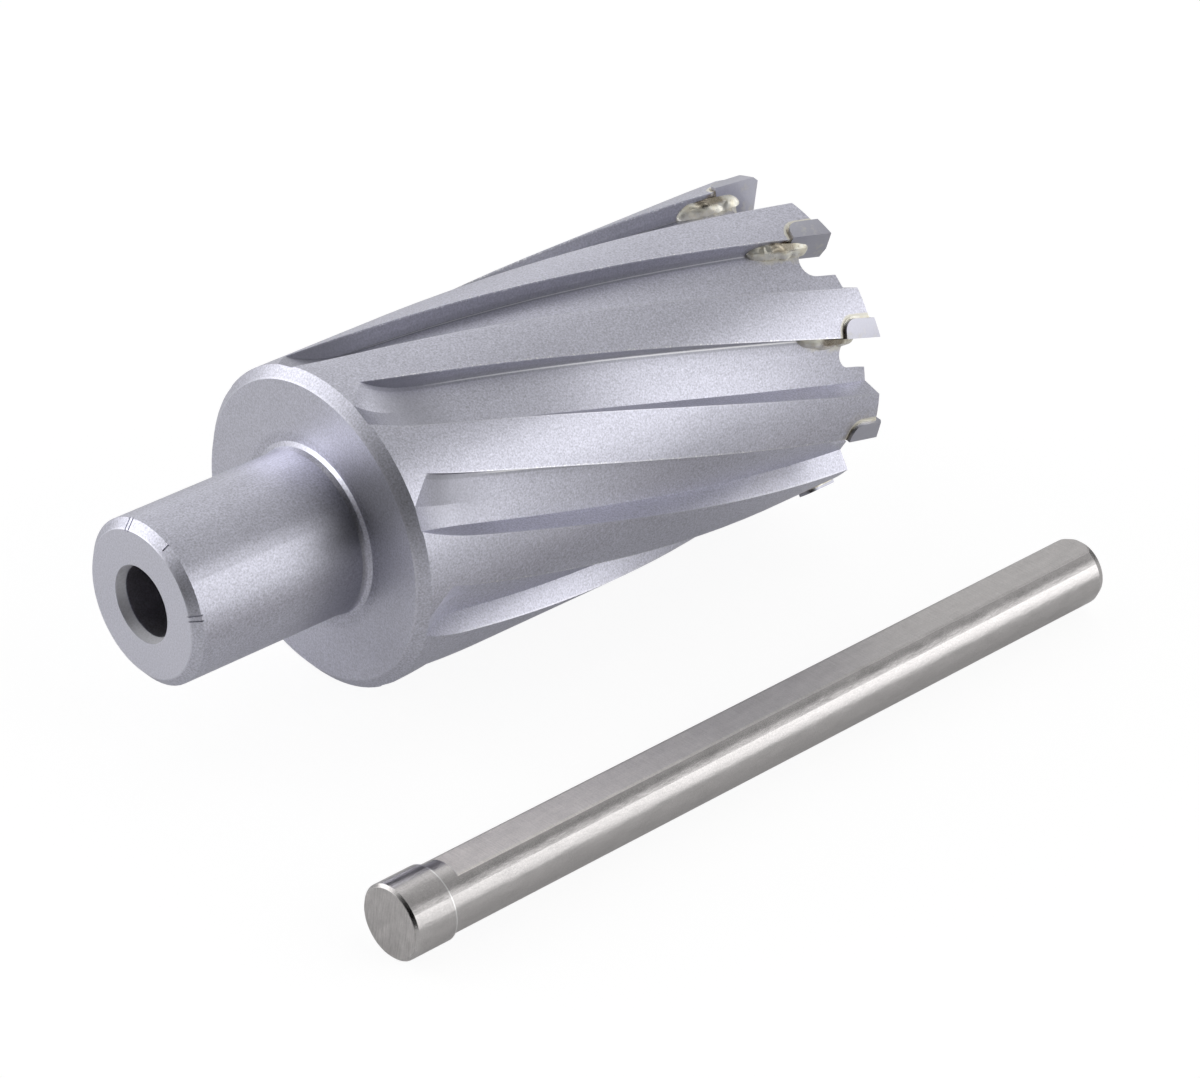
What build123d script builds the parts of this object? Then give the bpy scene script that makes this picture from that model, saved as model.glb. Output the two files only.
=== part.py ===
from build123d import *
import math
import os

# Annular cutter with brazed carbide tips, and its pilot pin lying beside it.
# Millimetres. The origin is the centre of the shank's end face, +X runs along the cutter's axis
# towards the teeth, +Z is up. Angles about the axis are in degrees from +Z towards +Y.

# driving sizes of the cutter
cutting_diameter = 38.1
shank_diameter = 19.05
shank_length = 23.32
overall_length = 92.2
teeth = 9

# the shank
shank_end_chamfer_axial = 0.92
shank_end_chamfer_radial = 1.05
bore_clearance = 0.11
bore_lead_in_radial = 0.385
bore_lead_in_length = 1.17
root_round = 0.75
clamping_flat_depth = 1.1
clamping_flat_length = 13.0
clamping_flat_centre = 12.4
clamping_flat_angles = (90.0, 180.0)
tool_mark_width = 0.17
tool_mark_depth = 0.16
tool_mark_overrun = 1.2
tool_marks = ((20.7, 1.0), (24.2, 1.0), (-15.8, 0.55), (-66.3, 1.0), (-70.1, 1.0))

# the body behind the teeth
tip_stand_out = 0.42
body_wall = 3.73
shoulder_chamfer_axial = 1.16
shoulder_chamfer_radial = 1.27
cavity_depth = 54.7

# the helical flutes
twist_per_mm = 0.904
first_tooth_angle = -21.3
land_share = 0.4565
flute_depth_leading = 2.0
flute_depth_trailing = 2.4
leading_wall_hook = 0.6
trailing_wall_lean = 2.6
floor_break_share = 0.57
runout_radius = 12.7
runout_after_shoulder_leading = 4.2
runout_after_shoulder_break = 1.2
runout_after_shoulder_trailing = 0.93

# the carbide tips: the three fronts follow one another round the cutter
tip_thickness = 2.2
tip_length = 4.9
tip_past_land = 0.55
tip_inside_cavity = 0.15
tip_rear_round = 1.45
tip_proud = 0.06
tip_relief_angle = 4.0
tip_point_depths = (2.85, 1.85, 0.5)
tip_point_rises = (0.45, 0.25, 0.45)
tip_inner_rises = (0.15, -0.25, -0.65)

# the braze of the tips
braze_gap = 0.25
seat_open = 0.12
braze_proud = 0.05
bead_length = 7.4
bead_width = 1.5
bead_height = 2.3
bead_behind_tip = 1.15
bead_above_floor = 0.35
bead_off_wall = 0.1
bead_sides = 6
bead_ring_shares = (-0.95, -0.6, 0.0, 0.6, 0.95)

# the gullets in front of the tips
gullet_width = 3.45
gullet_depth = 3.2
gullet_step = 0.9

# the pilot pin
pin_diameter = 7.98
pin_length = 106.0
pin_head_radius = 4.36
pin_head_length = 5.51
pin_head_chamfer = 0.34
pin_end_round = 1.2
pin_flat_depth = 0.43
pin_flat_turn = 8.7
pin_flat_start = 7.7
pin_head_face = 0.73
pin_beside_cutter = 18.64
pin_turn = 0.99

# what follows from the sizes above
tip_radius = cutting_diameter / 2
land_radius = tip_radius - tip_stand_out
shank_radius = shank_diameter / 2
pin_radius = pin_diameter / 2
pilot_bore_radius = pin_radius + bore_clearance
land_end = overall_length - tip_past_land
cavity_radius = land_radius - body_wall
cavity_floor = land_end - cavity_depth
tooth_pitch = 360.0 / teeth
land_angle = land_share * tooth_pitch
tip_rear = overall_length - tip_length
tip_middle = overall_length - tip_length / 2
tip_inner_radius = cavity_radius - tip_inside_cavity
flute_floor_radius = land_radius - flute_depth_leading
helix_radius = (tip_radius + tip_inner_radius) / 2
helix_tilt = math.radians(twist_per_mm) * helix_radius
floor_level = -tip_radius

# straight steps of a small round, and the side where a turned face closes on itself, away from the flats
round_steps = 2
seam_angle = -45.0

# how far the cutting tools reach past what they cut, and the places where a flute's section is taken
past = 3.0
tool_reach = 7.0
runout_steepest = 0.97
flute_lead_in = 1.6
close_spacing = 1.1
close_count = 13
far_count = 10


def leading_angle(x, tooth=0):
    """Angle of a tooth's leading edge at the distance x from the shank's end."""
    return first_tooth_angle - tooth_pitch * tooth - twist_per_mm * (x - overall_length)


def outward(angle):
    """Direction away from the axis at an angle."""
    turned = math.radians(angle)
    return Vector(0, math.sin(turned), math.cos(turned))


def onward(angle):
    """Direction round the axis at an angle, the way angles grow."""
    turned = math.radians(angle)
    return Vector(0, math.cos(turned), -math.sin(turned))


def turned_solid(points):
    """Solid of revolution about the axis from points given as distance and radius."""
    outline = Polyline(*[(x, 0, radius) for x, radius in points], close=True)
    return Rot(X=-seam_angle) * revolve(make_face(outline), Axis.X)


def rounded(centre, size, start):
    """Points of a quarter round, given as distance and radius, from one angle to the next quarter."""
    points = []
    for step in range(round_steps + 1):
        angle = math.radians(start + 90.0 * step / round_steps)
        points.append((centre[0] + size * math.cos(angle), centre[1] + size * math.sin(angle)))
    return points


def round_bar(radius, start, end):
    """Plain cylinder along the axis."""
    return Pos(X=(start + end) / 2) * Rot(Y=90) * Cylinder(radius, end - start)


def turned_blank():
    """The cutter body as it leaves the lathe."""
    root_centre = (shank_length - root_round, shank_radius + root_round)
    return turned_solid([
        (0, pilot_bore_radius + bore_lead_in_radial),
        (0, shank_radius - shank_end_chamfer_radial),
        (shank_end_chamfer_axial, shank_radius),
        *rounded(root_centre, root_round, -90.0),
        (shank_length, land_radius - shoulder_chamfer_radial),
        (shank_length + shoulder_chamfer_axial, land_radius),
        (land_end, land_radius),
        (land_end, cavity_radius),
        (cavity_floor, cavity_radius),
        (cavity_floor, pilot_bore_radius),
        (bore_lead_in_length, pilot_bore_radius),
    ])


def runout_depth(x, start, depth):
    """Depth of the flute's floor below the land, along the arc that the milling cutter leaves."""
    reach = math.sqrt(2 * runout_radius * depth - depth ** 2)
    left = reach - (x - start)
    if left <= 0:
        return depth
    left = min(left, runout_radius * runout_steepest)
    return math.sqrt(runout_radius ** 2 - left ** 2) - (runout_radius - depth)


def raised(corner, x, runout_after_shoulder):
    """A corner of the flute's floor, as far out as the run-out puts it at x."""
    depth = land_radius - corner.length
    left = runout_depth(x, shank_length + runout_after_shoulder, depth)
    return corner.normalized() * (land_radius - left)


def flute_section(x):
    """Section of one flute at x: a wall on each side, and a floor in two parts between them.
    Where the flute runs out, each corner of the floor rises by itself, and its wall with it."""
    lead = leading_angle(x)
    trail = lead - (tooth_pitch - land_angle)
    lead_foot = outward(lead + leading_wall_hook) * (land_radius - flute_depth_leading)
    trail_foot = outward(trail + trailing_wall_lean) * (land_radius - flute_depth_trailing)
    floor_break = lead_foot * (1 - floor_break_share) + trail_foot * floor_break_share
    lead_wall = (outward(lead) * land_radius - lead_foot).normalized() * tool_reach
    trail_wall = (outward(trail) * land_radius - trail_foot).normalized() * tool_reach

    lead_foot = raised(lead_foot, x, runout_after_shoulder_leading)
    floor_break = raised(floor_break, x, runout_after_shoulder_break)
    trail_foot = raised(trail_foot, x, runout_after_shoulder_trailing)
    points = [lead_foot, floor_break, trail_foot, trail_foot + trail_wall, lead_foot + lead_wall]
    outline = Polyline(*[(x, point.Y, point.Z) for point in points], close=True)
    return make_face(outline)


def flute_cutter():
    """Solid that takes one flute out of the blank, from its run-out to past the teeth."""
    first = shank_length + runout_after_shoulder_trailing - flute_lead_in
    last = land_end + past
    places = [first + close_spacing * i for i in range(close_count)]
    middle = places[-1]
    places += [middle + (last - middle) * i / far_count for i in range(1, far_count + 1)]
    return loft([flute_section(x) for x in places])


def tooth_plane(tooth):
    """Plane in which a tip is drawn: first along the helix, second into the land, third outwards."""
    angle = leading_angle(tip_middle, tooth)
    along = Vector(1, 0, 0) * math.cos(helix_tilt) - onward(angle) * math.sin(helix_tilt)
    return Plane(origin=(tip_middle, 0, 0), x_dir=along, z_dir=outward(angle))


def into_land_sign():
    """Sign that the plane's second axis takes for the direction into the land."""
    return 1 if tooth_plane(0).y_dir.dot(onward(leading_angle(tip_middle))) > 0 else -1


def tip_outline(grow, front, flute_side):
    """Outline of a tip seen from outside, grown by one gap at its rear end and at its back."""
    sign = into_land_sign()
    rear = tip_rear - tip_middle - grow
    back = sign * (tip_thickness + grow)
    outline = Polyline(
        (rear, sign * flute_side),
        (rear, back),
        (front, back),
        (front, sign * flute_side),
        close=True,
    )
    face = make_face(outline)
    corner = [v for v in face.vertices() if math.hypot(v.X - rear, v.Y - back) < 0.01]
    return fillet(corner, tip_rear_round + grow)


def tip_prism(tooth, grow, front, flute_side, inner, outer):
    """A tip's outline carried outwards between two heights over the axis."""
    return tooth_plane(tooth) * (Pos(Z=inner) * extrude(tip_outline(grow, front, flute_side), outer - inner))


def gullet_cutter(tooth):
    """Slot with a full round bottom that opens the tooth's front for the chip."""
    half = gullet_width / 2
    centre = (land_end - gullet_depth + half - tip_middle) / math.cos(helix_tilt)
    side = -into_land_sign() * half
    slot = Pos(centre, side) * Circle(half)
    slot += Pos(centre + gullet_depth, side) * Rectangle(2 * gullet_depth, gullet_width)
    inner = cavity_radius - past
    return tooth_plane(tooth) * (Pos(Z=inner) * extrude(slot, flute_floor_radius + gullet_step - inner))


def carbide_tip(tooth):
    """One tip: its outline, ground to its front profile with relief, and round on the outside."""
    kind = tooth % len(tip_point_depths)
    front = overall_length
    back = tip_rear - past
    profile = Polyline(
        (back, tip_inner_radius),
        (front + tip_inner_rises[kind], tip_inner_radius),
        (front + tip_point_rises[kind], tip_radius - tip_point_depths[kind]),
        (front, tip_radius),
        (front, tip_radius + past),
        (back, tip_radius + past),
        close=True,
    )
    angle = leading_angle(overall_length, tooth)
    drawn = Plane(origin=(0, 0, 0), x_dir=(1, 0, 0), z_dir=onward(angle) * -1)
    relief = Pos(X=front) * Rot(Y=tip_relief_angle) * Pos(X=-front)
    ground = drawn * (relief * extrude(make_face(profile), 3 * tip_thickness, both=True))
    raw = tip_prism(tooth, 0, tip_length, -tip_proud, cavity_radius - past, land_radius + past)
    return raw & ground & round_bar(tip_radius, tip_rear - past, overall_length + past)


def braze_layer(tooth):
    """The thin layer between a tip and its seat, with flat skins that touch the land and the cavity."""
    layer = tip_prism(tooth, braze_gap, tip_length, 0, cavity_radius - past, land_radius + past)
    layer = layer - tip_prism(tooth, 0, 2 * tip_length, -tip_proud, cavity_radius - 2 * past, land_radius + 2 * past)
    middle = leading_angle(tip_middle, tooth) + math.degrees(tip_thickness / 2 / land_radius)
    height = land_radius + braze_proud - cavity_radius
    skin = Plane(origin=(tip_middle, 0, 0), x_dir=tooth_plane(tooth).x_dir, z_dir=outward(middle))
    slab = skin * (Pos(Z=cavity_radius + height / 2) * Box(4 * tip_length, 4 * tip_length, height))
    return layer & slab & round_bar(land_radius + past, tip_rear - past, land_end)


def ringed_solid(rings):
    """Flat-sided solid through rings of corners, one ring after another, closed at both ends."""
    faces = [Face(Wire.make_polygon(ring, close=True)) for ring in (rings[0], rings[-1])]
    for near, far in zip(rings, rings[1:]):
        for side in range(len(near)):
            corners = [near[side - 1], near[side], far[side], far[side - 1]]
            faces.append(Face(Wire.make_polygon(corners, close=True)))
    return Solid(Shell(faces))


def braze_bead(tooth):
    """The bead in the corner of the flute behind a tip: an egg form made of flat-sided rings."""
    middle = tip_rear - bead_behind_tip
    angle = leading_angle(middle, tooth)
    along = Vector(1, 0, 0) * math.cos(helix_tilt) - onward(angle) * math.sin(helix_tilt)
    height = flute_floor_radius + bead_above_floor
    place = Vector(middle, 0, 0) + outward(angle) * height - onward(angle) * bead_off_wall
    rings = []
    for share in bead_ring_shares:
        girth = math.sqrt(1 - share ** 2)
        corners = []
        for side in range(bead_sides):
            turned = 2 * math.pi * (side + 0.5) / bead_sides
            corners.append(Vector(
                share * bead_length / 2,
                girth * math.cos(turned) * bead_width / 2,
                girth * math.sin(turned) * bead_height / 2,
            ))
        rings.append(corners)
    return Plane(origin=place, x_dir=along, z_dir=outward(angle)) * ringed_solid(rings)


def clamping_flat(angle):
    """Box that mills one flat for the machine's clamping screw."""
    height = shank_radius
    box = Box(clamping_flat_length, shank_diameter, height)
    return Rot(X=-angle) * Pos(clamping_flat_centre, 0, shank_radius - clamping_flat_depth + height / 2) * box


def tool_mark(angle, share):
    """Short groove across the chamfer of the shank's end, over a share of its width."""
    slope = math.atan2(shank_end_chamfer_radial, shank_end_chamfer_axial)
    width = math.hypot(shank_end_chamfer_radial, shank_end_chamfer_axial)
    along = Vector(1, 0, 0) * math.cos(slope) + outward(angle) * math.sin(slope)
    lift = outward(angle) * math.cos(slope) - Vector(1, 0, 0) * math.sin(slope)
    middle = Vector(shank_end_chamfer_axial, 0, 0) + outward(angle) * shank_radius - along * width * share / 2
    box = Box(tool_mark_overrun * width * share, tool_mark_width, 2 * tool_mark_depth)
    return Plane(origin=middle, x_dir=along, z_dir=lift) * box


def make_pilot_pin():
    """The pin: turned with a chamfered head and a rounded end, ground flat along one side."""
    end_centre = (pin_length - pin_end_round, pin_radius - pin_end_round)
    pin = turned_solid([
        (0, 0),
        (0, pin_head_radius - pin_head_chamfer),
        (pin_head_chamfer, pin_head_radius),
        (pin_head_length, pin_head_radius),
        (pin_head_length, pin_radius),
        *reversed(rounded(end_centre, pin_end_round, 0.0)),
        (pin_length, 0),
    ])
    flat_length = pin_length - pin_flat_start + past
    flat = Pos(pin_flat_start + flat_length / 2, 0, pin_radius - pin_flat_depth + pin_radius / 2)
    flat = flat * Box(flat_length, pin_diameter, pin_radius)
    return pin - Rot(X=-pin_flat_turn) * flat


def lay_down(pin):
    """Lays the pin beside the cutter, on the rim of its head and on its far end."""
    rise = pin_head_radius - pin_radius
    run = pin_length - pin_end_round - pin_head_length
    tilt = math.degrees(math.atan2(rise, run))
    rim = Pos(pin_head_length, 0, -pin_head_radius)
    back = Pos(-pin_head_length, 0, pin_head_radius)
    across = -(tip_radius + pin_beside_cutter + pin_head_radius)
    place = Pos(pin_head_face, across, floor_level + pin_head_radius) * Rot(Z=pin_turn)
    return place * (rim * Rot(Y=tilt) * back * pin)


# the body: flutes, then the seats and gullets, then the shank's flats and marks
body = turned_blank()
flute = flute_cutter()
body = body - [Rot(X=tooth_pitch * tooth) * flute for tooth in range(teeth)]
seats = []
for tooth in range(teeth):
    seats.append(tip_prism(tooth, braze_gap, tip_length, -seat_open, cavity_radius - past, land_radius + past))
    seats.append(gullet_cutter(tooth))
body = body - seats
body = body - [clamping_flat(angle) for angle in clamping_flat_angles]
body = body - [tool_mark(angle, share) for angle, share in tool_marks]

# the tips and their braze
tips = [carbide_tip(tooth) for tooth in range(teeth)]
brazes = []
for tooth in range(teeth):
    braze = (braze_layer(tooth) + braze_bead(tooth)) - tips[tooth] - body
    brazes.append(braze.solids().sort_by(SortBy.VOLUME)[-1])

pilot_pin = lay_down(make_pilot_pin())

os.makedirs("parts", exist_ok=True)
export_step(body, "parts/cutter_body.step")
for number, tip in enumerate(tips, start=1):
    export_step(tip, "parts/carbide_tip_" + str(number) + ".step")
for number, braze in enumerate(brazes, start=1):
    export_step(braze, "parts/tip_braze_" + str(number) + ".step")
export_step(pilot_pin, "parts/pilot_pin.step")

print("body", round(body.volume, 1), len(body.solids()), body.bounding_box())
print("tips", [round(tip.volume, 2) for tip in tips], tips[0].bounding_box())
print("brazes", [round(braze.volume, 3) for braze in brazes])
print("pin", round(pilot_pin.volume, 1), pilot_pin.bounding_box())
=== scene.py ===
import math

import bpy
import numpy as np
from mathutils import Matrix, Vector


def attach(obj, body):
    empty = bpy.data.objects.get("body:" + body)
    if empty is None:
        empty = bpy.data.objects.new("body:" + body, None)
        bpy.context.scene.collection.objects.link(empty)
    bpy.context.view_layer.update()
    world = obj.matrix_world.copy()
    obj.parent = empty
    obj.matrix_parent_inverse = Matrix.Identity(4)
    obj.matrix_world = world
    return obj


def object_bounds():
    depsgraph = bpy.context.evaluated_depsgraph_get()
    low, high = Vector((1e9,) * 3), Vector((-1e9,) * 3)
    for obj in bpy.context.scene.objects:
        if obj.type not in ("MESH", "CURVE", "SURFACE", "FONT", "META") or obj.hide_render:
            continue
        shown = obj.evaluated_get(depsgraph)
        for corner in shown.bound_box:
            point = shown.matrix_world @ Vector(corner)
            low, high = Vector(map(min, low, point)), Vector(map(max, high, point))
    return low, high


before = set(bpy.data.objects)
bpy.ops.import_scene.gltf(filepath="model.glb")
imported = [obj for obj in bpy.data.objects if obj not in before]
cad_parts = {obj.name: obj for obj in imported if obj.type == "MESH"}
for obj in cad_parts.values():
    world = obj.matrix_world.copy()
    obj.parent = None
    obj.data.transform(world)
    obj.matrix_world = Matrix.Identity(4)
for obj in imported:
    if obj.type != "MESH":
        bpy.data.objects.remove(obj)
frame_low, frame_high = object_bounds()

# An annular cutter with brazed carbide tips lies on its side, its pilot pin beside it.
# Lengths in metres, angles in degrees. +X runs along the cutter's axis to its teeth, +Z is up.
# Angles about the axis are counted from +Z towards +Y.

# where the photograph was taken from
CAMERA_PLACE = (-0.274665, -0.324534, 0.332249)
CAMERA_HEADING = 43.396
CAMERA_DIP = 36.740
CAMERA_ROLL = 7.853
CAMERA_LENS = 152.48
CAMERA_SENSOR = 36.0

# the cutter's own sizes, in millimetres, as its patterns read them
MM = 1000.0
LAND_RADIUS = 18.63
SHOULDER_PLACE = 23.32
TOOTH_END = 92.2
TOOTH_PITCH = 40.0
TWIST = 0.904
FIRST_TOOTH = 21.3
LAND_WIDTH = 18.26
LEADING_FOOT = 40.6
FLOOR_RADIUS = 16.7
SHANK_RADIUS = 9.525
BORE_RADIUS = 4.1
BORE_LEAD_IN = 1.17
TEETH = 9

# the blasted steel's colour, shine and grain
STEEL_TONE = 0.62
STEEL_BLUE = 0.13
STEEL_ROUGHNESS = 0.41
STEEL_GRAIN = 4600.0

# the seats of the tips, in millimetres and degrees, seen from outside along the helix
TIP_REAR = 87.3
TIP_MIDDLE = 89.75
SEAT_REAR = 2.70
SEAT_BACK = 2.45
SEAT_CORNER = 1.70
SEAT_TILT = 15.28

# the run of braze in the corner of a flute behind and under a tip, in millimetres and degrees
RUN_START = 82.2
RUN_END = 90.1
RUN_ON_FLOOR = 1.25
RUN_UP_WALL = 1.5
RUN_BURIED = 0.3
RUN_FLOOR_FALL = 0.2
RUN_STATIONS = 72
RUN_SIDES = 40
RUN_FULLNESS = 2.8
NECK_PLACE = 0.32
NECK_WIDTH = 0.12
NECK_DEPTH = 0.22
RUN_LUMPS = ((0.06, 4.6, 2, 1.7), (0.045, 9.3, -2, 2.9), (0.02, 19.0, 3, 4.1))
FOOT_HOOK = 0.6
FOOT_RADIUS = 16.63

# the pin's place and lie, in millimetres and degrees
PIN_START = (0.730, -42.050, -14.690)
PIN_TURN = 0.99
PIN_SINK = 0.0037
PIN_HEAD_END = 5.51
PIN_FLAT_START = 7.7
PIN_FLAT_LEVEL = 3.56
PIN_FLAT_TURN = 8.7


class Board:
    """A node tree with short calls that lay one node each and give back its main output."""

    def __init__(self, tree):
        self.tree = tree

    def node(self, kind, inputs=(), output=0, **settings):
        made = self.tree.nodes.new(kind)
        for name, value in settings.items():
            setattr(made, name, value)
        for name, value in dict(inputs).items():
            self.feed(made.inputs[name], value)
        return made.outputs[output]

    def feed(self, socket, value):
        if isinstance(value, bpy.types.NodeSocket):
            self.tree.links.new(value, socket)
        else:
            socket.default_value = value

    def math(self, operation, first, second=0.0, third=0.0, clamp=False):
        return self.node(
            "ShaderNodeMath", {0: first, 1: second, 2: third}, operation=operation, use_clamp=clamp
        )

    def ramp(self, value, start, end, low=0.0, high=1.0):
        """Smooth step of a value from low at start to high at end."""
        return self.node(
            "ShaderNodeMapRange",
            {"Value": value, "From Min": start, "From Max": end, "To Min": low, "To Max": high},
            interpolation_type="SMOOTHSTEP",
        )

    def band(self, value, low, high, soft):
        """1 between two values, falling to 0 over a soft margin outside them."""
        rise = self.ramp(value, low - soft, low)
        fall = self.ramp(value, high, high + soft, 1.0, 0.0)
        return self.math("MULTIPLY", rise, fall)

    def product(self, *values):
        result = values[0]
        for value in values[1:]:
            result = self.math("MULTIPLY", result, value)
        return result

    def noise(self, vector, scale, detail=2.0, roughness=0.5, lacunarity=2.0):
        return self.node(
            "ShaderNodeTexNoise",
            {
                "Vector": vector,
                "Scale": scale,
                "Detail": detail,
                "Roughness": roughness,
                "Lacunarity": lacunarity,
            },
        )

    def blend(self, share, first, second, kind="MIX"):
        mixed = self.tree.nodes.new("ShaderNodeMix")
        mixed.data_type = "RGBA"
        mixed.blend_type = kind
        self.feed(mixed.inputs["Factor"], share)
        self.feed(mixed.inputs[6], first)
        self.feed(mixed.inputs[7], second)
        return mixed.outputs[2]

    def group(self, tree, inputs=()):
        made = self.tree.nodes.new("ShaderNodeGroup")
        made.node_tree = tree
        for name, value in dict(inputs).items():
            self.feed(made.inputs[name], value)
        return made.outputs


def grey(value, blue=0.0):
    """A grey with a little blue in it."""
    return (value, value, value * (1 + blue), 1.0)


def new_group(name, inputs, outputs):
    """An empty node group with named value or vector sockets; gives its board and two end nodes."""
    tree = bpy.data.node_groups.new(name, "ShaderNodeTree")
    for label, kind in inputs:
        tree.interface.new_socket(label, in_out="INPUT", socket_type=kind)
    for label, kind in outputs:
        tree.interface.new_socket(label, in_out="OUTPUT", socket_type=kind)
    entry = tree.nodes.new("NodeGroupInput")
    leave = tree.nodes.new("NodeGroupOutput")
    return tree, Board(tree), entry, leave


def make_cutter_places():
    """Where a point of the cutter is: its distance along the axis, its radius and its place in a tooth's
    pitch, all from the object's own coordinates. The phase is the angle about the axis plus the helix's
    twist, taken modulo the pitch, so it is nought on every leading edge."""
    tree, board, entry, leave = new_group(
        "cutter_places",
        [],
        [("Along", "NodeSocketFloat"), ("Radius", "NodeSocketFloat"), ("Phase", "NodeSocketFloat")],
    )
    where = board.node("ShaderNodeTexCoord", output="Object")
    parts = board.tree.nodes.new("ShaderNodeSeparateXYZ")
    board.feed(parts.inputs[0], where)
    along = board.math("MULTIPLY", parts.outputs["X"], MM)
    across = board.math("MULTIPLY", parts.outputs["Y"], MM)
    up = board.math("MULTIPLY", parts.outputs["Z"], MM)
    radius = board.math(
        "SQRT",
        board.math("ADD", board.math("MULTIPLY", across, across), board.math("MULTIPLY", up, up)),
    )
    angle = board.math("DEGREES", board.math("ARCTAN2", across, up))
    twisted = board.math("MULTIPLY_ADD", board.math("SUBTRACT", along, TOOTH_END), TWIST, angle)
    phase = board.math("FLOORED_MODULO", board.math("ADD", twisted, FIRST_TOOTH), TOOTH_PITCH)
    board.feed(leave.inputs["Along"], along)
    board.feed(leave.inputs["Radius"], radius)
    board.feed(leave.inputs["Phase"], phase)
    return tree


def make_blasted_grain():
    """Fine even grain of a blasted surface: a tone that varies about one, and a height."""
    tree, board, entry, leave = new_group(
        "blasted_grain",
        [("Grain", "NodeSocketFloat"), ("Strength", "NodeSocketFloat")],
        [("Tone", "NodeSocketFloat"), ("Height", "NodeSocketFloat")],
    )
    where = board.node("ShaderNodeTexCoord", output="Object")
    fine = board.noise(where, entry.outputs["Grain"], 1.5, 0.6)
    broad = board.noise(where, board.math("MULTIPLY", entry.outputs["Grain"], 0.012), 3.0, 0.55)
    fine_part = board.math("MULTIPLY", board.math("SUBTRACT", fine, 0.5), entry.outputs["Strength"])
    broad_part = board.math("MULTIPLY", board.math("SUBTRACT", broad, 0.5), 0.22)
    tone = board.math("ADD", board.math("ADD", fine_part, broad_part), 1.0)
    board.feed(leave.inputs["Tone"], tone)
    board.feed(leave.inputs["Height"], fine)
    return tree


def new_material(name):
    """A material with its Principled shader, and the board to lay nodes on."""
    material = bpy.data.materials.new(name)
    material.use_nodes = True
    shader = material.node_tree.nodes["Principled BSDF"]
    return material, shader, Board(material.node_tree)


def make_seat_distance():
    """How far a point of the land is from the edge of its tip's seat, in millimetres: the signed distance
    to a box with one round corner, in the tangent plane that is turned along the helix."""
    tree, board, entry, leave = new_group(
        "seat_distance",
        [("Along", "NodeSocketFloat"), ("Phase", "NodeSocketFloat")],
        [("Distance", "NodeSocketFloat")],
    )
    tilt = math.radians(SEAT_TILT)
    ahead = board.math("SUBTRACT", entry.outputs["Along"], TIP_MIDDLE)
    turned = board.math("MULTIPLY_ADD", ahead, -TWIST, entry.outputs["Phase"])
    around = board.math("MULTIPLY", board.math("SINE", board.math("RADIANS", turned)), LAND_RADIUS)
    along = board.math("MULTIPLY_ADD", around, -math.sin(tilt), board.math("MULTIPLY", ahead, math.cos(tilt)))
    inward = board.math("MULTIPLY_ADD", around, math.cos(tilt), board.math("MULTIPLY", ahead, math.sin(tilt)))
    past_rear = board.math("SUBTRACT", SEAT_CORNER - SEAT_REAR, along)
    past_back = board.math("ADD", inward, SEAT_CORNER - SEAT_BACK)
    outer_rear = board.math("MAXIMUM", past_rear, 0.0)
    outer_back = board.math("MAXIMUM", past_back, 0.0)
    corner = board.math(
        "SQRT",
        board.math("MULTIPLY_ADD", outer_rear, outer_rear, board.math("MULTIPLY", outer_back, outer_back)),
    )
    inner = board.math("MINIMUM", board.math("MAXIMUM", past_rear, past_back), 0.0)
    distance = board.math("SUBTRACT", board.math("ADD", corner, inner), SEAT_CORNER)
    board.feed(leave.inputs["Distance"], distance)
    return tree


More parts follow.
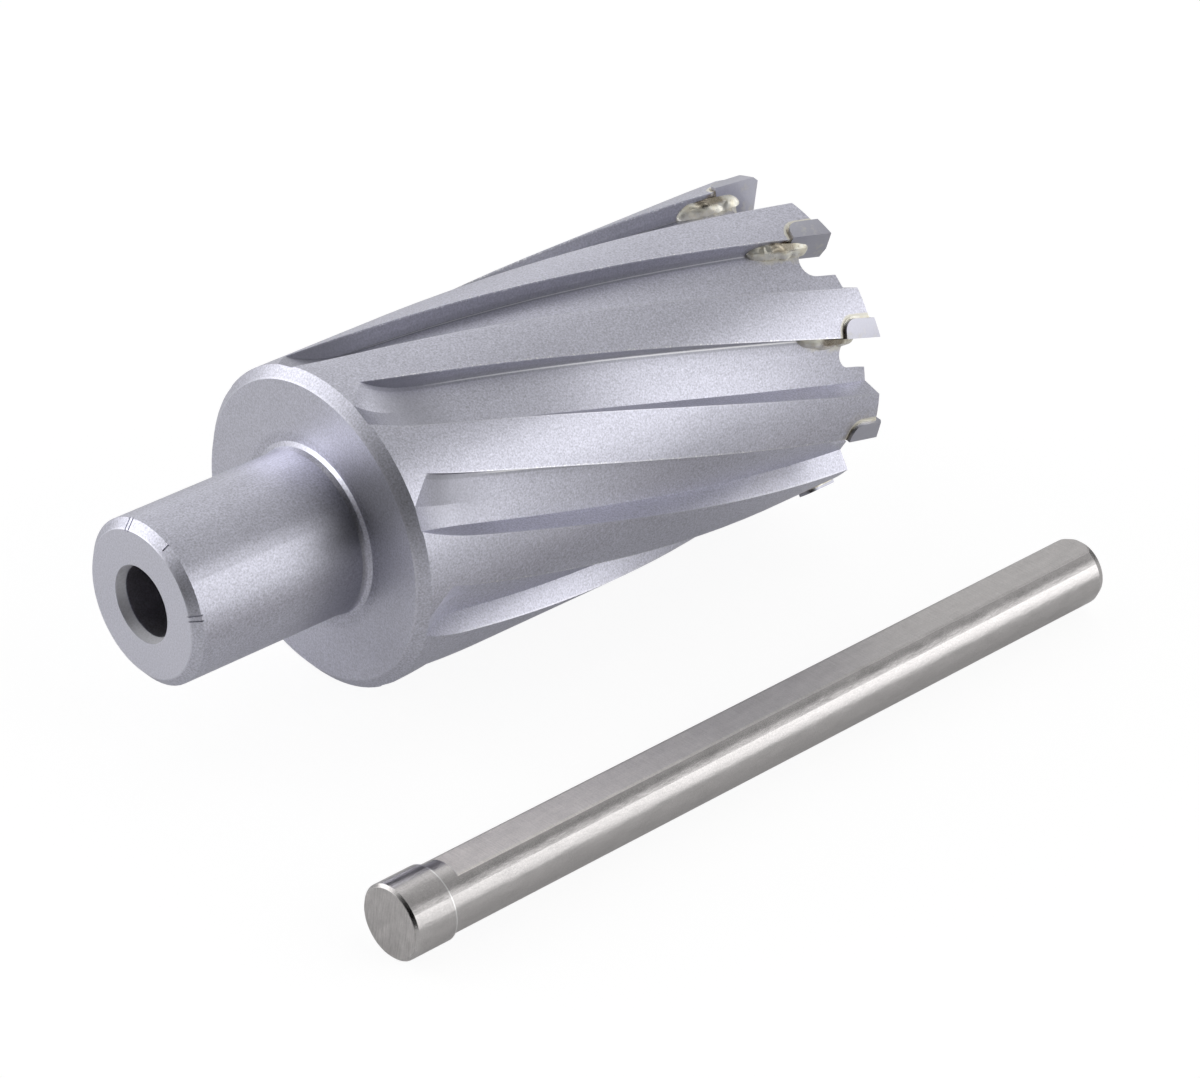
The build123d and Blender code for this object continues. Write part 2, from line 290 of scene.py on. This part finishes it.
def make_body_steel(places, grain, seat):
    """Blasted steel of the cutter: fine grain, nicked edges along the flutes with a painted highlight and the
    nicks painted white as glints, a painted highlight on the small round at the foot of each leading wall
    with painted shade on the floor beside it, painted shade on the leading walls, on the shank toward the
    shoulder and on the run-outs, painted light on the end face, the shoulder face and the bore's lead-in, a
    darker brown bore that is partly painted shade, and braze that has run round the tips."""
    material, shader, board = new_material("blasted_steel")
    where = board.node("ShaderNodeTexCoord", output="Object")
    spot = board.group(places)
    along, radius, phase = spot["Along"], spot["Radius"], spot["Phase"]
    texture = board.group(grain, {"Grain": STEEL_GRAIN, "Strength": 1.0})

    fluted = board.ramp(along, SHOULDER_PLACE + 2.0, SHOULDER_PLACE + 6.0)
    outer = board.ramp(radius, LAND_RADIUS - 0.30, LAND_RADIUS - 0.1)
    past_edge = board.math("PINGPONG", phase, TOOTH_PITCH / 2)
    lead_line = board.ramp(past_edge, 0.15, 0.55, 1.0, 0.0)
    trail_line = board.band(phase, LAND_WIDTH - 0.25, LAND_WIDTH + 0.1, 0.2)
    weak_trail_line = board.math("MULTIPLY", trail_line, 0.6)
    edges = board.product(board.math("MAXIMUM", lead_line, weak_trail_line), outer, fluted)
    nick_noise = board.noise(where, 3000.0, 1.5)
    nick_edge = board.ramp(past_edge, 0.25, 0.8, 1.0, 0.0)
    nicks = board.product(board.ramp(nick_noise, 0.56, 0.64), nick_edge, outer, fluted)

    low_floor = board.ramp(radius, FLOOR_RADIUS + 0.4, FLOOR_RADIUS + 0.9, 1.0, 0.0)
    foot_phase = board.math("FLOORED_MODULO", board.math("SUBTRACT", phase, LEADING_FOOT), TOOTH_PITCH)
    past_runout = board.ramp(along, SHOULDER_PLACE + 9.0, SHOULDER_PLACE + 16.0)
    # painted highlight along the small round at the foot of each leading wall
    foot_highlight = board.band(foot_phase, TOOTH_PITCH - 0.75, TOOTH_PITCH - 0.35, 0.15)
    foot_highlight = board.product(foot_highlight, low_floor, past_runout)
    # painted shade on the floor, deepening toward the foot of each leading wall
    toward_foot = board.ramp(foot_phase, TOOTH_PITCH - 6.5, TOOTH_PITCH - 0.9)
    foot_shade = board.product(toward_foot, low_floor, past_runout)

    colour = board.blend(1.0, grey(STEEL_TONE, STEEL_BLUE), texture["Tone"], "MULTIPLY")
    # where painted shade darkens the leading walls of the flutes
    on_wall = board.product(
        board.ramp(past_edge, 0.9, 1.4, 1.0, 0.0),
        board.ramp(radius, LAND_RADIUS - 0.15, LAND_RADIUS - 0.05, 1.0, 0.0),
        fluted,
    )
    colour = board.blend(board.math("MULTIPLY", on_wall, 0.42), colour, grey(0.26, 0.10))
    colour = board.blend(board.math("MULTIPLY", foot_shade, 0.25), colour, grey(0.30, 0.12))
    colour = board.blend(board.math("MULTIPLY", foot_highlight, 0.7), colour, grey(0.95))
    # painted highlight along the leading and trailing edges of the lands
    colour = board.blend(board.math("MULTIPLY", edges, 0.3), colour, grey(0.85, 0.02))
    # nicks along the edges, painted white as glints
    colour = board.blend(board.math("MULTIPLY", nicks, 0.8), colour, grey(1.0))
    in_bore = board.product(
        board.ramp(radius, BORE_RADIUS + 0.05, BORE_RADIUS + 0.15, 1.0, 0.0),
        board.ramp(along, BORE_LEAD_IN - 0.1, BORE_LEAD_IN + 0.3),
    )
    # a darker brown inside the bore: partly its own tint, partly painted shade
    colour = board.blend(board.math("MULTIPLY", in_bore, 0.35), colour, (0.25, 0.21, 0.19, 1.0))
    side = board.node("ShaderNodeSeparateXYZ", {0: where}, output="Y")
    height = board.node("ShaderNodeSeparateXYZ", {0: where}, output="Z")
    # painted shade on the shank's -Y side, deepening toward the shoulder
    toward_shoulder = board.product(
        board.ramp(along, SHOULDER_PLACE - 12.0, SHOULDER_PLACE - 1.5),
        board.ramp(radius, SHANK_RADIUS + 0.02, SHANK_RADIUS + 0.25, 1.0, 0.0),
        board.ramp(side, -0.0085, -0.003, 1.0, 0.0),
    )
    colour = board.blend(board.math("MULTIPLY", toward_shoulder, 0.55), colour, grey(0.16, 0.12))

    on_end = board.ramp(along, 0.05, 0.15, 1.0, 0.0)
    on_lead_in = board.product(
        board.ramp(along, BORE_LEAD_IN - 0.1, BORE_LEAD_IN, 1.0, 0.0),
        board.ramp(radius, BORE_RADIUS + 1.3, BORE_RADIUS + 1.4, 1.0, 0.0),
        board.ramp(along, 0.03, 0.08),
    )
    on_shoulder = board.product(
        board.band(along, SHOULDER_PLACE - 0.1, SHOULDER_PLACE + 0.1, 0.1),
        board.ramp(radius, SHANK_RADIUS + 1.5, SHANK_RADIUS + 2.0),
    )
    painted_light_faces = board.math("MAXIMUM", on_end, board.math("MULTIPLY", on_shoulder, 0.5))
    # painted light lifts the end face and, half as much, the shoulder face
    colour = board.blend(board.math("MULTIPLY", painted_light_faces, 0.45), colour, grey(0.92, 0.10))
    in_runout = board.product(
        board.ramp(along, SHOULDER_PLACE + 8.0, SHOULDER_PLACE + 15.0, 1.0, 0.0),
        board.ramp(radius, LAND_RADIUS - 0.10, LAND_RADIUS - 0.04, 1.0, 0.0),
        board.ramp(radius, LAND_RADIUS - 3.0, LAND_RADIUS - 2.5),
        fluted,
        board.ramp(height, 0.004, 0.010),
    )
    # painted shade on the upper side of the flute run-outs
    colour = board.blend(board.math("MULTIPLY", in_runout, 0.55), colour, grey(0.36, 0.12))
    # painted light brightens the bore's lead-in cone
    colour = board.blend(board.math("MULTIPLY", on_lead_in, 0.6), colour, grey(1.0))

    near_tip = board.ramp(along, TIP_REAR - 4.5, TIP_REAR - 2.5)
    stain_noise = board.noise(where, 520.0, 4.0, 0.6)
    low_side = board.ramp(height, -0.003, 0.004, 1.0, 0.0)
    gap = board.group(seat, {"Along": along, "Phase": phase})["Distance"]
    on_land = board.ramp(radius, LAND_RADIUS - 0.5, LAND_RADIUS - 0.2)
    ragged = board.math("MULTIPLY_ADD", board.math("SUBTRACT", stain_noise, 0.5), 0.5, gap)
    seam = board.product(board.ramp(ragged, 0.20, 0.38, 1.0, 0.0), on_land, near_tip)
    halo = board.product(board.ramp(gap, 0.25, 2.2, 1.0, 0.0), on_land, near_tip, low_side)
    halo = board.math("MULTIPLY", halo, board.ramp(stain_noise, 0.35, 0.62))

    past_foot = board.math("ADD", board.ramp(stain_noise, 0.25, 0.75, -1.6, 1.6), foot_phase)
    film = board.product(
        board.ramp(past_foot, TOOTH_PITCH - 6.5, TOOTH_PITCH - 3.5),
        board.ramp(radius, LAND_RADIUS - 1.3, LAND_RADIUS - 0.9, 1.0, 0.0),
        near_tip,
    )
    rear_gap = board.math("SUBTRACT", TIP_REAR, along)
    meniscus = board.product(
        board.band(rear_gap, -0.2, 0.75, 0.55),
        board.ramp(past_edge, 0.9, 1.5, 1.0, 0.0),
        board.ramp(radius, LAND_RADIUS - 0.30, LAND_RADIUS - 0.05, 1.0, 0.0),
    )
    colour = board.blend(board.math("MULTIPLY", halo, 0.5), colour, (0.52, 0.46, 0.36, 1.0))
    colour = board.blend(board.math("MULTIPLY", film, 0.7), colour, (0.86, 0.83, 0.73, 1.0))
    colour = board.blend(board.math("MULTIPLY", meniscus, 0.75), colour, (0.27, 0.22, 0.15, 1.0))
    colour = board.blend(board.math("MULTIPLY", seam, 0.95), colour, (0.95, 0.92, 0.82, 1.0))
    brazed = board.math("MAXIMUM", seam, board.math("MULTIPLY", film, 0.8))

    board.feed(shader.inputs["Base Color"], colour)
    board.feed(shader.inputs["Metallic"], board.math("MULTIPLY_ADD", brazed, -0.6, 1.0))
    rough = board.math("MULTIPLY_ADD", edges, -0.10, STEEL_ROUGHNESS)
    rough = board.math("MULTIPLY_ADD", meniscus, -0.18, rough)
    rough = board.math("MULTIPLY_ADD", on_lead_in, 0.22, rough)
    board.feed(shader.inputs["Roughness"], rough)
    bump = board.node("ShaderNodeBump", {"Height": texture["Height"], "Strength": 0.35, "Distance": 0.00003})
    board.feed(shader.inputs["Normal"], bump)
    return material


def make_carbide(grain):
    """Smooth ground carbide, a little darker than the steel, with pale smudges of braze."""
    material, shader, board = new_material("ground_carbide")
    where = board.node("ShaderNodeTexCoord", output="Object")
    texture = board.group(grain, {"Grain": 4200.0, "Strength": 0.2})
    smudge = board.ramp(board.noise(where, 620.0, 3.0, 0.6), 0.55, 0.68)
    colour = board.blend(1.0, grey(0.52, 0.12), texture["Tone"], "MULTIPLY")
    colour = board.blend(board.math("MULTIPLY", smudge, 0.4), colour, (0.80, 0.78, 0.72, 1.0))
    board.feed(shader.inputs["Base Color"], colour)
    shader.inputs["Metallic"].default_value = 1.0
    rough = board.math("MULTIPLY_ADD", texture["Height"], 0.12, 0.30)
    rough = board.math("MULTIPLY_ADD", smudge, 0.15, rough)
    board.feed(shader.inputs["Roughness"], rough)
    return material


def make_braze(places):
    """Pale silver braze: cream white with brown pits, lumpy, wet and brown high on the wall behind a tip
    and dull elsewhere."""
    material, shader, board = new_material("pale_braze")
    where = board.node("ShaderNodeTexCoord", output="Object")
    spot = board.group(places)
    lumps = board.noise(where, 900.0, 3.0, 0.6)
    pits = board.noise(where, 2300.0, 2.0, 0.6)
    colour = board.blend(board.ramp(lumps, 0.35, 0.60), (0.90, 0.85, 0.70, 1.0), (1.0, 0.98, 0.88, 1.0))
    colour = board.blend(board.ramp(pits, 0.60, 0.74, 0.0, 0.6), colour, (0.34, 0.28, 0.20, 1.0))
    wet = board.product(
        board.ramp(spot["Radius"], FOOT_RADIUS + 0.5, FOOT_RADIUS + 1.0),
        board.band(spot["Along"], TIP_REAR - 2.3, TIP_REAR + 0.2, 0.7),
    )
    colour = board.blend(board.math("MULTIPLY", wet, 0.8), colour, (0.22, 0.18, 0.13, 1.0))
    board.feed(shader.inputs["Base Color"], colour)
    board.feed(shader.inputs["Metallic"], board.math("MULTIPLY_ADD", wet, 0.4, 0.55))
    rough = board.math("MULTIPLY_ADD", wet, -0.15, board.ramp(pits, 0.3, 0.7, 0.28, 0.50))
    board.feed(shader.inputs["Roughness"], rough)
    bump = board.node("ShaderNodeBump", {"Height": lumps, "Strength": 0.4, "Distance": 0.00008})
    board.feed(shader.inputs["Normal"], bump)
    return material


def make_pin_places():
    """Where a point of the pin is, in millimetres: its distance from the head's face, its two distances
    across the axis, and its height over the axis towards the ground flat."""
    tree, board, entry, leave = new_group(
        "pin_places",
        [],
        [
            ("Along", "NodeSocketFloat"),
            ("Across", "NodeSocketFloat"),
            ("Up", "NodeSocketFloat"),
            ("Height", "NodeSocketFloat"),
        ],
    )
    where = board.node("ShaderNodeTexCoord", output="Object")
    scaled = board.node(
        "ShaderNodeVectorMath", {0: where, 1: (MM, MM, MM), 2: tuple(-v for v in PIN_START)},
        operation="MULTIPLY_ADD",
    )
    parts = board.tree.nodes.new("ShaderNodeSeparateXYZ")
    board.feed(parts.inputs[0], scaled)
    turn, flat_turn = math.radians(PIN_TURN), math.radians(PIN_FLAT_TURN)
    x, y, z = (parts.outputs[axis] for axis in "XYZ")
    along = board.math("MULTIPLY_ADD", x, math.cos(turn), board.math("MULTIPLY", y, math.sin(turn)))
    across = board.math("MULTIPLY_ADD", y, math.cos(turn), board.math("MULTIPLY", x, -math.sin(turn)))
    up = board.math("MULTIPLY_ADD", along, PIN_SINK, z)
    height = board.math(
        "MULTIPLY_ADD", up, math.cos(flat_turn), board.math("MULTIPLY", across, math.sin(flat_turn))
    )
    board.feed(leave.inputs["Along"], along)
    board.feed(leave.inputs["Across"], across)
    board.feed(leave.inputs["Up"], up)
    board.feed(leave.inputs["Height"], height)
    return tree


def make_pin_steel(places):
    """Satin steel of the pin: soft clouds along it, fine turned marks on its head, grinding marks across
    its flat, brushed lines on the head's face, painted light on the flat near the head and a painted
    highlight on the rim of the head."""
    material, shader, board = new_material("turned_steel")
    where = board.node("ShaderNodeTexCoord", output="Object")
    spot = board.group(places)
    along, across, up, height = spot["Along"], spot["Across"], spot["Up"], spot["Height"]
    on_head = board.ramp(along, PIN_HEAD_END - 0.02, PIN_HEAD_END + 0.02, 1.0, 0.0)
    on_face = board.ramp(along, 0.03, 0.09, 1.0, 0.0)
    on_flat = board.product(
        board.band(height, PIN_FLAT_LEVEL - 0.10, PIN_FLAT_LEVEL + 0.05, 0.04),
        board.ramp(along, PIN_FLAT_START - 0.1, PIN_FLAT_START + 0.1),
    )
    soft_place = board.node("ShaderNodeCombineXYZ", {0: board.math("MULTIPLY", along, 0.3), 1: across, 2: up})
    clouds = board.noise(soft_place, 1.1, 4.0, 0.6)
    grain = board.noise(where, 6500.0, 2.0, 0.6)
    mark_place = board.node(
        "ShaderNodeCombineXYZ",
        {0: along, 1: board.math("MULTIPLY", across, 0.05), 2: board.math("MULTIPLY", up, 0.05)},
    )
    marks = board.noise(mark_place, 6.0, 3.0, 0.65)
    brush_place = board.node("ShaderNodeCombineXYZ", {0: across, 1: board.math("MULTIPLY", up, 0.06), 2: 0.0})
    brushed = board.noise(brush_place, 5.0, 3.0, 0.6)

    marked = board.math("MAXIMUM", on_flat, board.math("MULTIPLY", on_head, 0.6))
    marked = board.math("MULTIPLY", marked, 0.36)
    tone = board.math("MULTIPLY_ADD", board.math("SUBTRACT", clouds, 0.5), 0.34, 1.0)
    tone = board.math("MULTIPLY_ADD", board.math("SUBTRACT", grain, 0.5), 0.36, tone)
    tone = board.math("MULTIPLY_ADD", board.math("SUBTRACT", marks, 0.5), marked, tone)
    tone = board.math(
        "MULTIPLY_ADD", board.math("SUBTRACT", brushed, 0.5), board.math("MULTIPLY", on_face, 0.7), tone
    )
    colour = board.blend(1.0, (0.585, 0.565, 0.56, 1.0), tone, "MULTIPLY")
    # painted light brightens the ground flat near the head, fading along the pin
    near_head = board.ramp(along, PIN_HEAD_END + 2.0, PIN_HEAD_END + 50.0, 1.0, 0.0)
    colour = board.blend(board.product(on_flat, near_head), colour, (1.5, 1.48, 1.45, 1.0), "MULTIPLY")
    # a painted highlight on the rim of the head
    head_rim_highlight = board.band(along, PIN_HEAD_END - 0.12, PIN_HEAD_END, 0.05)
    colour = board.blend(board.math("MULTIPLY", head_rim_highlight, 0.6), colour, grey(0.95))
    board.feed(shader.inputs["Base Color"], colour)
    shader.inputs["Metallic"].default_value = 1.0
    rough = board.math("MULTIPLY_ADD", clouds, 0.16, 0.15)
    rough = board.math("MULTIPLY_ADD", board.math("MAXIMUM", on_flat, on_face), 0.22, rough)
    board.feed(shader.inputs["Roughness"], rough)
    bump = board.node("ShaderNodeBump", {"Height": clouds, "Strength": 0.5, "Distance": 0.00006})
    board.feed(shader.inputs["Normal"], bump)
    return material


def make_braze_run(tooth, material):
    """Lumpy run of braze along the corner of a flute, as one closed surface. Its middle line is the helix of
    the corner between the leading wall and the floor. Round that line it is an ellipse in the angle v that
    reaches along the floor for cos v and up the wall for sin v, times (1 - |s|^RUN_FULLNESS)^0.5 at the
    share s of its half length, times 1 - NECK_DEPTH exp(-((s - NECK_PLACE) / NECK_WIDTH)^2), times one plus
    the sum of the rows (size, a, b, c) of RUN_LUMPS as size * sin(a s + b v + c * tooth)."""
    share = np.linspace(-1.0, 1.0, RUN_STATIONS)[1:-1, None]
    turned = np.linspace(0.0, 2 * np.pi, RUN_SIDES, endpoint=False)[None, :]
    swell = np.sqrt(1 - np.abs(share) ** RUN_FULLNESS)
    swell = swell * (1 - NECK_DEPTH * np.exp(-(((share - NECK_PLACE) / NECK_WIDTH) ** 2)))
    lumps = 1
    for size, per_share, per_turn, per_tooth in RUN_LUMPS:
        lumps = lumps + size * np.sin(per_share * share + per_turn * turned + per_tooth * tooth)
    toward_floor, up_wall = np.cos(turned), np.sin(turned)
    on_floor = toward_floor * np.where(toward_floor > 0, RUN_ON_FLOOR, RUN_BURIED) * swell * lumps
    height = up_wall * np.where(up_wall > 0, RUN_UP_WALL, RUN_BURIED) * swell * lumps
    along = (RUN_START + RUN_END) / 2 + share * (RUN_END - RUN_START) / 2 + 0 * turned
    points = corner_points(tooth, along, on_floor, height).reshape(-1, 3)
    ends = corner_points(tooth, np.array([RUN_START, RUN_END]), np.zeros(2), np.zeros(2))
    points = np.concatenate([points, ends]) / MM

    rings, sides = share.shape[0], RUN_SIDES
    faces = []
    for ring in range(rings - 1):
        for side in range(sides):
            near, past = ring * sides, (ring + 1) * sides
            beside = (side + 1) % sides
            faces.append((near + side, past + side, past + beside, near + beside))
    first_end, last_end, last = rings * sides, rings * sides + 1, (rings - 1) * sides
    for side in range(sides):
        beside = (side + 1) % sides
        faces.append((first_end, side, beside))
        faces.append((last_end, last + beside, last + side))
    mesh = bpy.data.meshes.new("braze_run_" + str(tooth + 1))
    mesh.from_pydata(points.tolist(), [], faces)
    mesh.polygons.foreach_set("use_smooth", [True] * len(mesh.polygons))
    mesh.materials.append(material)
    run = bpy.data.objects.new(mesh.name, mesh)
    bpy.context.scene.collection.objects.link(run)
    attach(run, "root")


def corner_points(tooth, along, on_floor, height):
    """Points near the corner of a flute from their distances along the axis, along the floor and up the
    wall. The floor falls away from the wall's foot in proportion to the distance along it."""
    angle = -FIRST_TOOTH - TOOTH_PITCH * tooth - TWIST * (along - TOOTH_END) + FOOT_HOOK
    angle = np.radians(angle) - on_floor / FOOT_RADIUS
    radius = FOOT_RADIUS + height - RUN_FLOOR_FALL * on_floor
    return np.stack([along, radius * np.sin(angle), radius * np.cos(angle)], axis=-1)


def dress(node, material):
    """Gives a frame piece its material."""
    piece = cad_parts[node]
    piece.data.materials.clear()
    piece.data.materials.append(material)


def camera_axes():
    """Right, up and forward of the camera from its heading, dip and roll."""
    heading, dip, roll = (math.radians(a) for a in (CAMERA_HEADING, CAMERA_DIP, CAMERA_ROLL))
    forward = Vector((math.cos(dip) * math.cos(heading), math.cos(dip) * math.sin(heading), -math.sin(dip)))
    level = Vector((math.sin(heading), -math.cos(heading), 0.0))
    lift = level.cross(forward)
    right = level * math.cos(roll) + lift * math.sin(roll)
    up = lift * math.cos(roll) - level * math.sin(roll)
    return right, up, forward


def make_camera():
    """The camera at the photograph's place, level with its frame."""
    data = bpy.data.cameras.new("camera")
    data.sensor_width = CAMERA_SENSOR
    data.lens = CAMERA_LENS
    data.clip_start = 0.01
    data.clip_end = 20.0
    camera = bpy.data.objects.new("camera", data)
    right, up, forward = camera_axes()
    turn = Matrix((right, up, -forward)).transposed().to_4x4()
    camera.matrix_world = Matrix.Translation(CAMERA_PLACE) @ turn
    bpy.context.scene.collection.objects.link(camera)
    bpy.context.scene.camera = camera


FLOOR_SIZE = 8.0
FLOOR_WHITE = 0.86
FLOOR_GLOW = 1.14
FLOOR_GLOW_SEEN = 0.80
FLOOR_GLOW_MIRRORED = 0.12


def make_floor():
    """White floor that the cutter and the pin lie on. It shows white and keeps their shadow."""
    half = FLOOR_SIZE / 2
    corners = [(-half, -half, 0), (half, -half, 0), (half, half, 0), (-half, half, 0)]
    mesh = bpy.data.meshes.new("floor")
    mesh.from_pydata([(x, y, frame_low.z) for x, y, _ in corners], [], [(0, 1, 2, 3)])
    floor = bpy.data.objects.new("floor", mesh)
    bpy.context.scene.collection.objects.link(floor)
    material = bpy.data.materials.new("white_floor")
    material.use_nodes = True
    material.node_tree.nodes.clear()
    board = Board(material.node_tree)
    path = board.tree.nodes.new("ShaderNodeLightPath")
    mirrored = board.math("MAXIMUM", path.outputs["Is Glossy Ray"], path.outputs["Is Transmission Ray"])
    seen = board.math("MULTIPLY", path.outputs["Is Camera Ray"], FLOOR_GLOW_SEEN)
    glow_share = board.math("MAXIMUM", seen, board.math("MULTIPLY", mirrored, FLOOR_GLOW_MIRRORED))
    cloth = board.node("ShaderNodeBsdfDiffuse", {"Color": grey(FLOOR_WHITE)})
    glow = board.node("ShaderNodeEmission", {"Color": grey(1.0), "Strength": FLOOR_GLOW})
    mixed = board.tree.nodes.new("ShaderNodeMixShader")
    board.feed(mixed.inputs[0], glow_share)
    board.feed(mixed.inputs[1], cloth)
    board.feed(mixed.inputs[2], glow)
    leave = board.tree.nodes.new("ShaderNodeOutputMaterial")
    board.feed(leave.inputs["Surface"], mixed.outputs[0])
    mesh.materials.append(material)


# the studio's soft lights as glows in the sky, all of one width: heading, rise, brightness
SKY_GLOWS = (
    (51.0, 7.0, 1.10),
    (77.0, 7.0, 2.01),
    (103.0, 7.0, 2.37),
    (129.0, 7.0, 3.15),
    (154.0, 7.0, 7.75),
    (-77.0, 7.0, 1.54),
    (-51.0, 7.0, 1.15),
    (-26.0, 7.0, 1.79),
    (14.0, 24.0, 0.65),
    (42.0, 24.0, 0.40),
    (125.0, 24.0, 0.92),
    (-42.0, 24.0, 1.84),
    (-14.0, 24.0, 1.61),
    (0.0, 41.0, 0.57),
    (33.0, 41.0, 0.88),
    (65.0, 41.0, 1.28),
    (131.0, 41.0, 0.99),
    (-65.0, 41.0, 1.87),
    (26.0, 59.0, 0.28),
    (129.0, 59.0, 1.18),
    (-26.0, 59.0, 0.31),
    (0.0, 80.0, 1.42),
)
GLOW_SHARPNESS = 40.0


def make_world():
    """Soft studio light: a sum of round glows, each falling off as the exponential of the cosine of the
    angle from its middle. The camera itself sees plain white past the floor."""
    world = bpy.data.worlds.new("studio")
    bpy.context.scene.world = world
    world.use_nodes = True
    board = Board(world.node_tree)
    where = board.node("ShaderNodeTexCoord", output="Generated")
    total = 0.0
    for heading, rise, brightness in SKY_GLOWS:
        turned, raised = math.radians(heading), math.radians(rise)
        middle = (math.cos(turned) * math.cos(raised), math.sin(turned) * math.cos(raised), math.sin(raised))
        facing = board.node(
            "ShaderNodeVectorMath", {0: where, 1: middle}, output="Value", operation="DOT_PRODUCT"
        )
        fall = board.math("MULTIPLY_ADD", facing, GLOW_SHARPNESS, -GLOW_SHARPNESS)
        total = board.math("MULTIPLY_ADD", board.math("EXPONENT", fall), brightness, total)
    path = board.tree.nodes.new("ShaderNodeLightPath")
    strength = board.node("ShaderNodeMix", {"Factor": path.outputs["Is Camera Ray"], "A": total, "B": 1.0})
    background = world.node_tree.nodes["Background"]
    background.inputs["Color"].default_value = grey(1.0)
    board.feed(background.inputs["Strength"], strength)


def set_view():
    settings = bpy.context.scene.view_settings
    settings.view_transform = "Standard"


make_camera()
make_floor()
make_world()
set_view()

cutter_places = make_cutter_places()
blasted_grain = make_blasted_grain()
seat_distance = make_seat_distance()
dress("cutter_body", make_body_steel(cutter_places, blasted_grain, seat_distance))
carbide = make_carbide(blasted_grain)
braze = make_braze(cutter_places)
for number in range(1, TEETH + 1):
    dress("carbide_tip_" + str(number), carbide)
    dress("tip_braze_" + str(number), braze)
    make_braze_run(number - 1, braze)
dress("pilot_pin", make_pin_steel(make_pin_places()))
